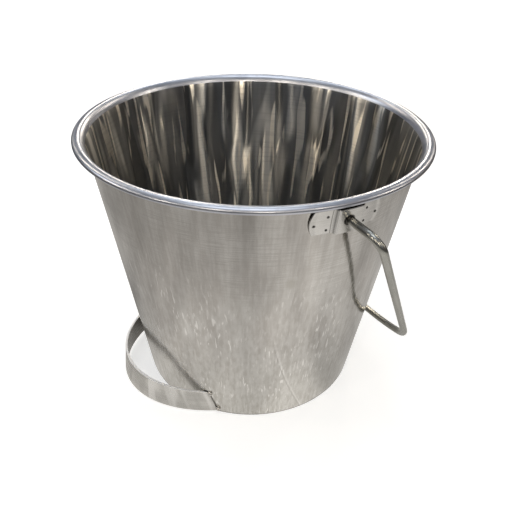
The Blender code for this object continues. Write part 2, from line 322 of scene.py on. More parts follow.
def stain_patch(tree, shape):
    """A faint dull mark the size of a fingertip."""
    angle, height = wall_place(tree, shape)
    across = product(tree, maths(tree, "SUBTRACT", angle, STAIN_ANGLE), MOUTH_RADIUS)
    upward = maths(tree, "SUBTRACT", height, STAIN_HEIGHT)
    squares = [maths(tree, "POWER", part, 2.0) for part in (across, upward)]
    away = maths(tree, "SQRT", maths(tree, "ADD", *squares))
    return ranged(tree, away, *STAIN_EDGE, 0.0, STAIN_SHARE)


def channel_shadow(tree, shape):
    """The unlit wall inside the mouth of each ear's channel."""
    angle, height = wall_place(tree, shape)
    across = product(tree, maths(tree, "SINE", angle), MOUTH_RADIUS)
    off_middle = maths(tree, "ABSOLUTE", maths(tree, "SUBTRACT", across, SHADOW_OFFSET))
    above = maths(tree, "SUBTRACT", height, HINGE_HEIGHT + EAR_HALF_HEIGHT)
    upright = product(tree, ranged(tree, above, *SHADOW_TOP), ranged(tree, above, *SHADOW_FOOT))
    return product(tree, ranged(tree, off_middle, *SHADOW_SIDES), upright)


def outside_material():
    """Satin turned sheet: fine rings, upright streaks, dull patches, small scratches whose bright
    specks are painted glints, painted highlight and shade beside the crease, painted shadow in the
    mouths of the ears' channels, and darker patches along the foot.
    """
    material, tree, shader = steel("wall_satin", 0.6, 0.25)
    shape = add(tree, "ShaderNodeSeparateXYZ", {0: flow_at(tree, (1, 1, 1))})
    height = shape.outputs[2]
    clouds = noise(tree, flow_at(tree, (1, 1, 0.4)), 26, 4, 0.6)
    mottle = noise(tree, flow_at(tree, (1, 1, 0.45)), 260, 3, 0.6)
    streaks = noise(tree, flow_at(tree, (1, 1, 0.09)), 300, 2, 0.6)
    specks = noise(tree, flow_at(tree, (1, 1, 0.19)), 600, 0, 0.5)
    blobs = noise(tree, flow_at(tree, (1, 1, 0.24)), 260, 0, 0.5)
    groups = noise(tree, flow_at(tree, (1, 1, 0.6)), 38, 3, 0.6)
    rings = noise(tree, flow_at(tree, (0.03, 0.03, 1)), 1150, 1, 0.5)
    waves = noise(tree, flow_at(tree, (1, 1, 0.18)), 40, 2, 0.5)

    # Small scratches gather in groups in the lower part; their bright specks are painted glints
    gathered = ranged(tree, groups, 0.47, 0.60, 0.26, 1.0)
    glint_groups = product(tree, ranged(tree, height, 0.215, 0.095), gathered)
    scratch_glints = maths(tree, "MULTIPLY", ranged(tree, specks, 0.65, 0.74), glint_groups, clamp=True)
    soft_glints = maths(tree, "MULTIPLY", ranged(tree, blobs, 0.60, 0.74), glint_groups, clamp=True)
    # Turning rings show in patches in the upper part
    below, above = ranged(tree, height, 0.135, 0.175), ranged(tree, height, 0.240, 0.222)
    ring_zone = product(tree, below, above)
    ring_tint = product(tree, ranged(tree, rings, 0.46, 0.60), ring_zone)
    ring_share = product(tree, ring_tint, ranged(tree, clouds, 0.42, 0.58, 0.10, 0.34))
    worn = ranged(tree, height, 0.20, 0.05, 0.25, 1.0)
    # Darker patches along the very foot of the wall
    foot_dark_patches = product(tree, ranged(tree, height, 0.0050, 0.0008), ranged(tree, groups, 0.50, 0.58))

    layers = (
        (ranged(tree, clouds, 0.40, 0.60), (0.62, 0.605, 0.58)),
        (ranged(tree, height, 0.12, 0.0, 0.0, 0.30), (0.56, 0.56, 0.50)),
        (product(tree, ranged(tree, mottle, 0.46, 0.62, 0.0, 0.26), worn), (0.78, 0.77, 0.75)),
        (product(tree, ranged(tree, mottle, 0.50, 0.38, 0.0, 0.24), worn), (0.40, 0.375, 0.34)),
        (ranged(tree, streaks, 0.48, 0.64, 0.0, 0.22), (0.76, 0.75, 0.73)),
        (ranged(tree, streaks, 0.50, 0.36, 0.0, 0.18), (0.42, 0.405, 0.38)),
        (product(tree, scratch_glints, 0.80), (0.97, 0.955, 0.93)),
        (product(tree, soft_glints, 0.30), (0.90, 0.89, 0.87)),
        # Painted highlight on one side of the crease and painted shade on the other
        (crease_line(tree, shape, 0.0009, 0.0010), (0.85, 0.84, 0.82)),
        (crease_line(tree, shape, -0.0007, 0.0008), (0.36, 0.35, 0.33)),
        (ring_share, (0.40, 0.385, 0.36)),
        (channel_shadow(tree, shape), (0.03, 0.03, 0.03)),
        (product(tree, foot_dark_patches, 0.65), (0.20, 0.19, 0.17)),
        (stain_patch(tree, shape), (0.42, 0.405, 0.36)),
    )
    colour = layered(tree, (0.52, 0.50, 0.475), layers)
    smooth = ranged(tree, clouds, 0.38, 0.62, 0.12, 0.18)
    rough = maths(tree, "ADD", smooth, product(tree, scratch_glints, 0.08))
    normal = bumped(tree, waves, 0.00016)
    normal = bumped(tree, rings, 0.00001, normal)
    normal = bumped(tree, specks, 0.00003, normal)
    finish_steel(tree, shader, colour, rough, normal)
    return material


# Just rough enough that the denoiser works from this surface, not from what it mirrors
INSIDE_ROUGHNESS = (0.276, 0.280)


def inside_material():
    """Polished inside, painted with reflections: cream and dark streaks smeared upright stand for
    lamps and the dim room mirrored in its ripples, over a dark base.
    """
    material, tree, shader = steel("wall_polished", 1.0, 0.25)
    ripple = noise(tree, flow_at(tree, (1, 1, 0.14)), 62, 0.6, 0.4, 0.5)
    fine = noise(tree, flow_at(tree, (1, 1, 0.08)), 170, 1, 0.5)
    slow = noise(tree, flow_at(tree, (1, 1, 0.35)), 14, 2, 0.5)
    rings = noise(tree, flow_at(tree, (0.02, 0.02, 1)), 420, 2, 0.5)
    reflected_streaks = noise(tree, flow_at(tree, (1, 1, 0.10)), 140, 0.6, 0.5, 0.7)
    layers = (
        # Painted reflections: the dark and cream ripple layers and the cream streaks stand for the
        # room and its lamps mirrored in the wall; the slow, fine and ring layers are tone
        (ranged(tree, slow, 0.4, 0.6), (0.27, 0.268, 0.262)),
        (ranged(tree, fine, 0.42, 0.58, 0.0, 0.3), (0.15, 0.15, 0.148)),
        (ranged(tree, ripple, 0.49, 0.38, 0.0, 0.75), (0.09, 0.089, 0.087)),
        (ranged(tree, ripple, 0.575, 0.70, 0.0, 0.8), (0.90, 0.87, 0.81)),
        (ranged(tree, reflected_streaks, 0.59, 0.68), (1.0, 0.93, 0.81)),
        (ranged(tree, rings, 0.50, 0.62, 0.0, 0.14), (0.17, 0.17, 0.167)),
    )
    colour = layered(tree, (0.15, 0.149, 0.147), layers)
    rough = ranged(tree, slow, 0.4, 0.6, *INSIDE_ROUGHNESS)
    finish_steel(tree, shader, colour, rough, bumped(tree, ripple, 0.0018))
    # A faint even cream glow: painted light that lifts the dark inside
    shader.inputs["Emission Color"].default_value = (1.0, 0.98, 0.92, 1)
    shader.inputs["Emission Strength"].default_value = 0.006
    return material


def rim_material():
    """Bright buffed roll, with hairline scratches that run round it."""
    material, tree, shader = steel("rim_bright", 0.2)
    hair = noise(tree, flow_at(tree, (0.05, 0.05, 1)), 1500, 2, 0.6)
    soft = noise(tree, flow_at(tree, (1, 1, 1)), 34, 3, 0.5)
    scuffs = noise(tree, flow_at(tree, (1, 1, 1)), 210, 3, 0.6)
    layers = (
        (ranged(tree, soft, 0.42, 0.58), (0.66, 0.68, 0.74)),
        (ranged(tree, scuffs, 0.54, 0.66, 0.0, 0.15), (0.44, 0.43, 0.46)),
    )
    colour = layered(tree, (0.56, 0.58, 0.64), layers)
    brushed = ranged(tree, hair, 0.40, 0.62, 0.28, 0.34)
    rough = maths(tree, "ADD", brushed, ranged(tree, scuffs, 0.5, 0.64, 0.0, 0.04))
    normal = bumped(tree, hair, 0.000003, bumped(tree, soft, 0.00011))
    finish_steel(tree, shader, colour, rough, normal)
    return material


def bar_material(name, colours, rough_range, anisotropy, grain_scale, bump):
    """Drawn or rolled metal with hairlines along its length and a few dull patches."""
    material, tree, shader = steel(name, anisotropy, 0.25)
    hair = noise(tree, flow_at(tree, (1, 1, 0.03)), grain_scale, 3, 0.6)
    soft = noise(tree, flow_at(tree, (1, 1, 0.6)), 60, 3, 0.55)
    share = maths(
        tree, "ADD", ranged(tree, soft, 0.3, 0.7, 0.0, 0.6), ranged(tree, hair, 0.35, 0.7, 0.0, 0.4)
    )
    colour = layered(tree, colours[0], [(share, colours[1])])
    brushed = ranged(tree, hair, 0.3, 0.7, *rough_range)
    rough = maths(tree, "ADD", brushed, ranged(tree, soft, 0.45, 0.75, 0.0, 0.06))
    finish_steel(tree, shader, colour, rough, bumped(tree, hair, bump))
    return material, tree, shader


def bail_material():
    colours = ((0.38, 0.38, 0.35), (0.52, 0.52, 0.485))
    return bar_material("bail_drawn", colours, (0.25, 0.32), 0.2, 900, 0.000002)[0]


# Distance from the pin, width, colour and share of each painted line of highlight and shade on the
# flutes pressed beside the channel
FLUTE_LIGHT_AND_SHADE = (
    (0.0128, 0.0006, (0.12, 0.115, 0.11), 0.75),
    (0.0117, 0.0005, (0.90, 0.89, 0.87), 0.60),
    (0.0108, 0.0005, (0.16, 0.155, 0.15), 0.60),
    (0.0094, 0.0006, (0.92, 0.91, 0.89), 0.70),
)
# Colour of the weld soot and of the painted shadow round the pin hole
SOOT_AND_SHADE = (0.035, 0.032, 0.03)


def ear_material():
    """Pressed plate: painted highlights on the flutes' crests and painted shade in their hollows,
    soot in the weld dents and a painted shadow round the pin hole.
    """
    colours = ((0.56, 0.55, 0.53), (0.74, 0.73, 0.71))
    material, tree, shader = bar_material("ear_pressed", colours, (0.15, 0.24), 0.3, 700, 0.00002)
    along = add(tree, "ShaderNodeSeparateXYZ", {0: flow_at(tree, (1, 1, 1))}).outputs[2]
    away = maths(tree, "ABSOLUTE", along)
    layers = []
    for place, width, colour, amount in FLUTE_LIGHT_AND_SHADE:
        near = maths(tree, "ABSOLUTE", maths(tree, "SUBTRACT", away, place))
        layers.append((ranged(tree, near, width, 0.0, 0.0, amount), colour))
    # Weld soot, plus the painted shadow round the pin hole
    layers.append((add(tree, "ShaderNodeAttribute", attribute_name="burn").outputs["Fac"], SOOT_AND_SHADE))
    clean = shader.inputs["Base Color"].links[0].from_socket
    tree.links.new(layered(tree, clean, layers), shader.inputs["Base Color"])
    return material


# Distances in from the strap's edges where the painted highlight starts and where it is whole
HIGHLIGHT_EDGE = (0.0008, 0.0003)


def strap_material():
    """Rolled flat bar: a painted highlight along its edges, painted shade on the side facing the
    wall.
    """
    colours = ((0.50, 0.49, 0.47), (0.70, 0.69, 0.66))
    material, tree, shader = bar_material("strap_rolled", colours, (0.20, 0.30), 0.5, 600, 0.00002)
    shape = add(tree, "ShaderNodeSeparateXYZ", {0: flow_at(tree, (1, 1, 1))})
    worn = noise(tree, flow_at(tree, (0.15, 0.15, 1)), 62, 2, 0.5)
    depths = (0.35 * STRAP_THICKNESS, 0.75 * STRAP_THICKNESS)
    # Painted shade on the face towards the wall
    inner = ranged(tree, shape.outputs[1], *depths, 0.0, 0.85)
    middle, half = (STRAP_TOP + STRAP_BOTTOM) / 2, (STRAP_TOP - STRAP_BOTTOM) / 2
    off_middle = maths(tree, "ABSOLUTE", maths(tree, "SUBTRACT", shape.outputs[0], middle))
    # Painted highlight along both edges
    edge = ranged(tree, off_middle, half - HIGHLIGHT_EDGE[0], half - HIGHLIGHT_EDGE[1])
    layers = (
        (ranged(tree, worn, 0.50, 0.62, 0.0, 0.75), (0.86, 0.85, 0.83)),
        (ranged(tree, worn, 0.46, 0.36, 0.0, 0.45), (0.38, 0.375, 0.35)),
        (inner, (0.17, 0.165, 0.15)),
        (edge, (0.99, 0.99, 0.99)),
    )
    rolled = shader.inputs["Base Color"].links[0].from_socket
    brushed = shader.inputs["Roughness"].links[0].from_socket
    rough = maths(tree, "ADD", brushed, product(tree, edge, 0.35))
    tree.links.new(layered(tree, rolled, layers), shader.inputs["Base Color"])
    tree.links.new(rough, shader.inputs["Roughness"])
    return material


def base_material():
    """Pressed disc with circular polishing marks."""
    material, tree, shader = steel("base_turned", 0.6, 0.25)
    rings = noise(tree, flow_at(tree, (0, 0, 1)), 900, 3, 0.7)
    soft = noise(tree, flow_at(tree, (1, 1, 1)), 25, 3, 0.5)
    layers = (
        (ranged(tree, soft, 0.3, 0.7), (0.62, 0.60, 0.57)),
        (ranged(tree, rings, 0.4, 0.7, 0.0, 0.3), (0.40, 0.39, 0.36)),
    )
    colour = layered(tree, (0.48, 0.47, 0.44), layers)
    rough = ranged(tree, rings, 0.3, 0.7, 0.18, 0.30)
    finish_steel(tree, shader, colour, rough, bumped(tree, rings, 0.00003))
    return material


def weld_material():
    """Bright weld metal with a straw-coloured heat tint in its hollows."""
    material, tree, shader = steel("weld_bright")
    lumps = noise(tree, flow_at(tree, (1, 1, 1)), 900, 3, 0.6)
    colour = layered(
        tree, (0.36, 0.32, 0.27), [(ranged(tree, lumps, 0.35, 0.6), (0.78, 0.77, 0.75))]
    )
    rough = ranged(tree, lumps, 0.3, 0.7, 0.40, 0.22)
    finish_steel(tree, shader, colour, rough, bumped(tree, lumps, 0.0002))
    return material


# ---------------------------------------------------------------- wall

WALL_SIDES = 360
CONE_STEPS = 60
FLARE_STEPS = 12
CURL_STEPS = 48
POLISHED_STEPS = 5  # how many steps of the flare the polish of the inside reaches
FOOT_CHAMFER = 0.00015
SOLE_HALF_WIDTH = 0.0002  # of the flat that the wall's foot stands on
OUTSIDE, RIM, INSIDE = range(3)  # order of the wall's materials
WALL_WAVE = 0.00012  # about how far the wall is out of round
FREE_ABOVE_FOOT = (0.012, 0.05)  # heights where the waves start and are whole
FREE_BELOW_RIM = (0.01, 0.05)  # the same, as depths below the rim
DENTS = 90
DENT_DEPTH = 0.00012
FOLD_HEIGHT = 0.00022  # of the crease
FOLD_WIDTH = 0.0022
# Height, and degrees round the bucket, of points along the crease
CREASE = ((0.0, 0.0), (0.0306, -7.45), (0.0597, -12.96), (0.0921, -17.33), (0.1145, -19.64))


def cubic(start, start_pull, end_pull, end, t):
    s = 1 - t
    return start * s**3 + start_pull * 3 * s * s * t + end_pull * 3 * s * t * t + end * t**3


def wall_line():
    """Middle of the sheet, from its foot up the cone and over the curl."""
    half = SHEET / 2
    centre = np.array([CURL_OUTER_RADIUS - CURL_HALF_WIDTH, RIM_HEIGHT])
    wide, high = CURL_HALF_WIDTH - half, CURL_HALF_HEIGHT - half
    bend_height = RIM_HEIGHT - FLARE_DEPTH
    foot = np.array([wall_radius(0, -half), 0.0])
    bend = np.array([wall_radius(bend_height, -half), bend_height])
    rise = (bend - foot) / np.linalg.norm(bend - foot)
    turns = np.linspace(CURL_START, CURL_END, CURL_STEPS + 1)
    curl = centre + np.stack([wide * np.cos(turns), high * np.sin(turns)], -1)
    entry = np.array([wide * sin(CURL_START), -high * cos(CURL_START)])
    entry /= np.linalg.norm(entry)
    pulls = (bend + rise * FLARE_DEPTH * CONE_PULL, curl[0] - entry * FLARE_DEPTH * CURL_PULL)
    cone = [foot + (bend - foot) * i / CONE_STEPS for i in range(CONE_STEPS)]
    flare = [cubic(bend, *pulls, curl[0], i / FLARE_STEPS) for i in range(FLARE_STEPS)]
    return np.array([*cone, *flare, *curl])


def sideways(line, distance):
    """The open line moved to its left by a distance."""
    run = np.gradient(line, axis=0)
    run /= np.linalg.norm(run, axis=1, keepdims=True)
    return line + distance * np.stack([-run[:, 1], run[:, 0]], -1)


def wrapped(angle):
    return (angle + pi) % tau - pi


def wall_dents():
    """(angle, height, radius, depth) of the small knocks in the lower half of the wall."""
    return [
        (
            rng.uniform(0, tau),
            rng.uniform(0.012, 0.125),
            rng.uniform(0.005, 0.012),
            rng.uniform(-1, 1) * DENT_DEPTH,
        )
        for _ in range(DENTS)
    ]


def wall_push(angle, z):
    """How far the sheet stands off its true cone."""
    below_rim = RIM_HEIGHT - z
    free = smoothstep(*FREE_ABOVE_FOOT, z) * smoothstep(*FREE_BELOW_RIM, below_rim)
    push = WALL_WAVE * free * (np.sin(2 * angle + 0.7) + 0.6 * np.sin(3 * angle + 2.1 + 9 * z))
    for at, height, radius, depth in wall_dents():
        girth = wrapped(angle - at) * wall_radius(height)
        push = push + depth * np.exp(-(girth**2 + (0.6 * (z - height)) ** 2) / radius**2)
    heights, angles = np.array(CREASE).T
    line = np.radians(np.interp(z, heights, angles))
    away = wrapped(angle - line) * wall_radius(z) / FOLD_WIDTH
    fade = smoothstep(heights[-1], heights[-1] - 0.03, z) * smoothstep(-0.002, 0.006, z)
    return push + fade * FOLD_HEIGHT * away * np.exp(-(away**2))


def make_wall(materials):
    line = wall_line()
    outside, inside = sideways(line, -SHEET / 2), sideways(line, SHEET / 2)
    outside[0, 1] = inside[0, 1] = FOOT_CHAMFER
    sole = [(line[0, 0] - SOLE_HALF_WIDTH, 0.0), (line[0, 0] + SOLE_HALF_WIDTH, 0.0)]
    loop = np.concatenate([outside, inside[::-1], sole])
    kind = np.full(len(loop), RIM)
    kind[: CONE_STEPS + FLARE_STEPS] = OUTSIDE
    kind[len(line) + CURL_STEPS + FLARE_STEPS - POLISHED_STEPS : -1] = INSIDE
    angles = np.arange(WALL_SIDES) * tau / WALL_SIDES
    radius = np.broadcast_to(loop[:, 0], (WALL_SIDES, len(loop)))
    z = np.broadcast_to(loop[:, 1], (WALL_SIDES, len(loop)))
    angle = np.broadcast_to(angles[:, None], radius.shape)
    radius = radius + wall_push(angle, z)
    rings = np.stack([radius * np.cos(angle), radius * np.sin(angle), z], -1)
    mean = (FOOT_RADIUS + MOUTH_RADIUS) / 2
    flow = np.stack([mean * np.cos(angle), mean * np.sin(angle), z], -1)
    length = lengths_along(np.concatenate([loop, loop[:1]]))
    girth = np.arange(WALL_SIDES + 1) * tau / WALL_SIDES * mean
    grain = grain_grid(girth, length)
    wall = loft(
        "wall_shell", rings, materials, flow, grain, capped=False, closed=True, ring_material=kind
    )
    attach(wall, "bucket")
    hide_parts("bucket_wall")


# ---------------------------------------------------------------- base


BASE_SIDES = 240
BASE_CHAMFER = 0.0004
LIP_CHAMFER = 0.0003
DISC_CENTRE = 0.00004  # radius where the disc's faces close
DISC_STEPS = 40
UNDER_STEPS = 12
DISH_RISE = 0.0002  # of the disc inside the ring between DISH_EDGE's radii
DISH_EDGE = (0.094, 0.090)
BASE_MEAN_RADIUS = 0.1


def base_section():
    """(radius, height) round the pressing's section, from its middle out along the underside."""
    inset = SHEET + JOINT_GAP
    outer_low, outer_high = wall_radius(0, -inset), wall_radius(FLANGE_HEIGHT, -inset)
    inner_high = outer_high - BASE_THICKNESS
    bend_radius = outer_low - BASE_THICKNESS - FLANGE_BEND
    turns = -np.linspace(0, pi / 2, 9)
    bend = arc((bend_radius, BASE_THICKNESS + FLANGE_BEND), FLANGE_BEND, turns)
    lip = [
        (outer_high, FLANGE_HEIGHT - LIP_CHAMFER),
        (outer_high - LIP_CHAMFER, FLANGE_HEIGHT),
        (inner_high + LIP_CHAMFER, FLANGE_HEIGHT),
        (inner_high, FLANGE_HEIGHT - LIP_CHAMFER),
    ]
    disc = np.linspace(bend[-1][0], DISC_CENTRE, DISC_STEPS)[1:]
    top = [(r, BASE_THICKNESS + DISH_RISE * smoothstep(*DISH_EDGE, r)) for r in disc]
    under = [(r, 0.0) for r in np.linspace(DISC_CENTRE, outer_low - BASE_CHAMFER, UNDER_STEPS)]
    return np.array([*under, (outer_low, BASE_CHAMFER), *lip, *bend, *top])


def make_base(material):
    section = base_section()
    angles = np.arange(BASE_SIDES) * tau / BASE_SIDES
    radius = np.broadcast_to(section[:, 0], (BASE_SIDES, len(section)))
    z = np.broadcast_to(section[:, 1], radius.shape)
    angle = np.broadcast_to(angles[:, None], radius.shape)
    rings = np.stack([radius * np.cos(angle), radius * np.sin(angle), z], -1)
    flow = np.stack([rings[..., 0], rings[..., 1], radius], -1)
    length = lengths_along(section)
    length = np.append(length, length[-1] + BASE_THICKNESS)
    girth = np.arange(BASE_SIDES + 1) * tau / BASE_SIDES * BASE_MEAN_RADIUS
    grain = grain_grid(girth, length)
    base = loft("base_pressing", rings, [material], flow, grain, capped=False, closed=True)
    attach(base, "bucket")
    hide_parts("bucket_base")


# ---------------------------------------------------------------- rounded bars


def bar_loop(half_width, thickness, corner, across_steps, corner_steps=4):
    """(across, depth) round a bar's section: up the front, over, down the back, under.

    The loop reads the same both ways, front point k facing back point -1-k.
    """
    flat = half_width - corner
    front = [(across, thickness) for across in np.linspace(-flat, flat, across_steps)]
    over = arc((flat, thickness - corner), corner, np.linspace(pi / 2, 0, corner_steps + 1)[1:])
    half = np.concatenate([over[::-1] * (-1, 1), front, over])
    mirrored = half[::-1] * (1, -1) + (0, thickness)
    return np.concatenate([half, mirrored])


# ---------------------------------------------------------------- ears


EAR_STATIONS = 200
EAR_ACROSS = 64
EAR_ROUND = 0.0004  # rounding of the strip's edges
EAR_END_STEPS = 4
EAR_TIP_LIFT = 0.0005  # of the strip's ends off the wall
EAR_TIP_START = 0.86  # share of the half length where the lift starts
MARK_SPREAD = 1.15  # radius of a weld's dent, as a share of the CAD's mark
# How dark the weld soot and the painted shadow round the pin hole are
MARK_DARKNESS = 0.97
MARK_SOOT = (0.15, 0.75)  # shares of a dent's depth where its soot starts and is whole
PIN_SHADOW = (-0.0012, 0.0008)  # along the strip and up, from the middle of the pin
PIN_SHADOW_EDGE = (0.0048, 0.0039)  # radii where it has gone and where it is whole
PIN_HOLE_SIDES = 48
SHARP_ANGLE = radians(40)


def channel_rise(along):
    """How far the channel and the flutes on its flanks stand above the flat of the strip."""
    share = np.clip((CHANNEL_FOOT - np.abs(along)) / (CHANNEL_FOOT - CHANNEL_TOP), 0, 1)
    flutes = FLUTE_HEIGHT * np.sin(tau * FLUTES * share) * share
    return CHANNEL_RISE * smoothstep(0, 1, share) + flutes


def ear_shares():
    """Places along the strip as shares of its half length, closer where its ends are rounded."""
    round_off = EAR_ROUND * (1 - np.cos(np.linspace(0, pi / 2, EAR_END_STEPS + 1)[:-1]))
    ends = 1 - round_off / EAR_HALF_LENGTH
    even = np.linspace(-1, 1, EAR_STATIONS)
    return np.unique(np.round(np.concatenate([even, ends, -ends]), 7))


def weld_dents(along, up):
    """(depth, soot) of the dents that spot welding leaves in the strip's front."""
    depth, soot = np.zeros(up.shape), np.zeros(up.shape)
    for mark_along, mark_up in WELD_MARKS:
        for side in (-1, 1):
            away = np.hypot(along - side * mark_along, up - mark_up)
            dip = np.clip(1 - (away / (WELD_MARK_RADIUS * MARK_SPREAD)) ** 2, 0, 1) ** 1.5
            depth += WELD_MARK_DEPTH * dip
            soot += smoothstep(*MARK_SOOT, dip) * MARK_DARKNESS
    return depth, soot


def make_ear(name, node, turn, material):
    loop = bar_loop(EAR_HALF_HEIGHT, EAR_THICKNESS, EAR_ROUND, EAR_ACROSS)
    shares = ear_shares()[:, None]
    up = np.broadcast_to(loop[:, 0], (len(shares), len(loop)))
    depth = np.broadcast_to(loop[:, 1], up.shape).copy()
    along = np.broadcast_to(shares * EAR_HALF_LENGTH, up.shape)
    from_end = np.clip(EAR_ROUND - (EAR_HALF_LENGTH - np.abs(along)), 0, EAR_ROUND)
    depth -= (depth / EAR_THICKNESS) * (EAR_ROUND - np.sqrt(EAR_ROUND**2 - from_end**2))
    front = depth > EAR_THICKNESS / 2
    dents, soot = weld_dents(along, up)
    by_pin = np.hypot(along - PIN_SHADOW[0], up - PIN_SHADOW[1])
    # Weld soot in the dents, plus a painted shadow round the pin hole
    burn = front * (soot + smoothstep(*PIN_SHADOW_EDGE, by_pin) * MARK_DARKNESS)
    depth -= front * dents
    bulge = EAR_END_BULGE * (1 - (up / EAR_HALF_HEIGHT) ** 2)
    angle = (along + bulge * shares**3) / wall_radius(HINGE_HEIGHT)
    lift = EAR_TIP_LIFT * smoothstep(EAR_TIP_START, 1.0, np.abs(shares))
    z = HINGE_HEIGHT + up
    radius = wall_radius(z, JOINT_GAP + depth + lift + channel_rise(along))
    rings = np.stack([radius * np.cos(angle), radius * np.sin(angle), z], -1)
    flow = np.stack([up, depth, along], -1)
    width = lengths_along(loop)
    width = np.append(width, width[-1] + EAR_THICKNESS)
    ear = loft(name, rings, [material], flow, grain_grid(along[:, 0], width))
    float_attribute(ear, "burn", np.clip(burn, 0, 1))
    bore_pin_hole(ear)
    ear.data.transform(Matrix.Rotation(turn, 4, "Z"))
    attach(ear, "bucket")
    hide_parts(node)


def pin_hole_cutter():
    """A round bar along X through the ear's channel, clear of the strip and the wall."""
    turns = np.arange(PIN_HOLE_SIDES) * tau / PIN_HOLE_SIDES
    start = wall_radius(HINGE_HEIGHT, EAR_THICKNESS)
    end = start + CHANNEL_RISE + 4 * EAR_THICKNESS
    circle = arc((0, HINGE_HEIGHT), PIN_HOLE_RADIUS, turns)
    points = [(x, across, up) for x in (start, end) for across, up in circle]
    sides = PIN_HOLE_SIDES
    faces = [[i, (i + 1) % sides, sides + (i + 1) % sides, sides + i] for i in range(sides)]
    faces += [list(range(sides))[::-1], list(range(sides, 2 * sides))]
    return mesh_object("pin_hole", points, faces, [])


def bore_pin_hole(ear):
    """Cuts the round hole that the bail's pin turns in."""
    cutter = pin_hole_cutter()
    boolean = ear.modifiers.new("pin_hole", "BOOLEAN")
    boolean.operation = "DIFFERENCE"
    boolean.solver = "EXACT"
    boolean.object = cutter
    bpy.context.view_layer.update()
    graph = bpy.context.evaluated_depsgraph_get()
    bored = bpy.data.meshes.new_from_object(
        ear.evaluated_get(graph), preserve_all_data_layers=True, depsgraph=graph
    )
    ear.modifiers.clear()
    ear.data = bored
    bpy.data.objects.remove(cutter)
    bored.set_sharp_from_angle(angle=SHARP_ANGLE)


# ---------------------------------------------------------------- bail


PIN_POINTS = 12
SHOULDER_POINTS = 33
LEG_POINTS = 40
CORNER_POINTS = 37
GRIP_POINTS = 49
WIRE_SIDES = 36
HEAD_CROWN = 0.0009  # how much the head's crown stands inside its full radius
HEAD_POLE = 0.0008  # radius where its inner face closes
# How far in from the outer face and from the full radius the points of its outer edge lie
HEAD_EDGE = ((0.0002, 0.0001), (0.0, 0.0008))


def half_bail():
    """Middle line of half the wire in its own plane, (along the hinge, away from it)."""
    along = np.array([-sin(LEG_LEAN), cos(LEG_LEAN)])
    across = np.array([cos(LEG_LEAN), sin(LEG_LEAN)])
    shoulder_centre = np.array([SHOULDER_START, SHOULDER_RADIUS])
    leg_start = shoulder_centre + SHOULDER_RADIUS * across
    tip = np.array([sin(GRIP_TURN), cos(GRIP_TURN)])
    target = np.array([0, BAIL_REACH]) - CORNER_RADIUS * tip - leg_start + CORNER_RADIUS * across
    swing = np.array([-tip[0], 1 - tip[1]])
    scale = along[0] * swing[1] - along[1] * swing[0]
    leg = (target[0] * swing[1] - target[1] * swing[0]) / scale
    grip = (along[0] * target[1] - along[1] * target[0]) / scale
    shoulder_turns = np.linspace(-pi / 2, LEG_LEAN, SHOULDER_POINTS)
    shoulder = arc(shoulder_centre, SHOULDER_RADIUS, shoulder_turns)
    corner_centre = leg_start + along * leg - CORNER_RADIUS * across
    corner_turns = np.linspace(LEG_LEAN, pi / 2 - GRIP_TURN, CORNER_POINTS)
    corner = arc(corner_centre, CORNER_RADIUS, corner_turns)
    bow = arc((0, BAIL_REACH - grip), grip, np.linspace(pi / 2 - GRIP_TURN, pi / 2, GRIP_POINTS))
    pin_start = wall_radius(HINGE_HEIGHT, HEAD_STANDOFF + HEAD_THICKNESS)
    pin = [(x, 0) for x in np.linspace(pin_start, SHOULDER_START, PIN_POINTS)[:-1]]
    legs = [leg_start + along * leg * share for share in np.linspace(0, 1, LEG_POINTS)[1:-1]]
    return np.concatenate([pin, shoulder, legs, corner, bow[1:]])


def bail_head():
    """(distance along the hinge, radius) of the upset head on the right, from its inner face."""
    inner = wall_radius(HINGE_HEIGHT, HEAD_STANDOFF)
    outer = inner + HEAD_THICKNESS
    turns = np.linspace(0, pi / 2, 6)
    crown = [
        (inner + HEAD_THICKNESS * 0.5 * (1 - cos(t)), HEAD_RADIUS - HEAD_CROWN * (1 - sin(t)))
        for t in turns
    ]
    edge = [(outer - depth, HEAD_RADIUS - less) for depth, less in HEAD_EDGE]
    return np.array([(inner, HEAD_POLE), *crown, *edge])


def make_bail(material):
    half = half_bail()
    flat = np.concatenate([half, half[-2::-1] * (-1, 1)])
    down, out = flat[:, 1] * sin(HANG_ANGLE), flat[:, 1] * cos(HANG_ANGLE)
    wire = np.stack([flat[:, 0], out, HINGE_HEIGHT - down], -1)
    places, head_radii = bail_head().T
    head = np.stack([places, 0 * places, 0 * places + HINGE_HEIGHT], -1)
    line = np.concatenate([head, wire, head[::-1] * (-1, 1, 1)])
    radii = np.concatenate([head_radii, np.full(len(wire), WIRE_RADIUS), head_radii[::-1]])
    axis = np.tile([1.0, 0, 0], (len(head), 1))
    run = np.concatenate([axis, np.gradient(wire, axis=0), axis])
    run /= np.linalg.norm(run, axis=1, keepdims=True)
    normal = np.array([0, sin(HANG_ANGLE), cos(HANG_ANGLE)])
    side = np.cross(run, normal)
    side /= np.linalg.norm(side, axis=1, keepdims=True)
    turns = np.arange(WIRE_SIDES) * tau / WIRE_SIDES
    around = np.cos(turns)[None, :, None] * side[:, None, :] + np.sin(turns)[None, :, None] * normal
    rings = line[:, None, :] + radii[:, None, None] * around
    length = lengths_along(line)
    circle = np.broadcast_to(arc((0, 0), WIRE_RADIUS, turns), (*rings.shape[:2], 2))
    run_along = np.broadcast_to(length[:, None, None], (*rings.shape[:2], 1))
    flow = np.concatenate([circle, run_along], -1)
    grain = grain_grid(length, np.arange(WIRE_SIDES + 1) * tau / WIRE_SIDES * WIRE_RADIUS)
    bail = loft("bail_wire", rings, [material], flow, grain)
    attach(bail, "bail")
    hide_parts("bail")


# ---------------------------------------------------------------- strap and tacks


STRAP_STATIONS = 180
STRAP_ACROSS = 14
STRAP_ROUND = 0.0005  # rounding of the bar's edges
END_HALVINGS = 30


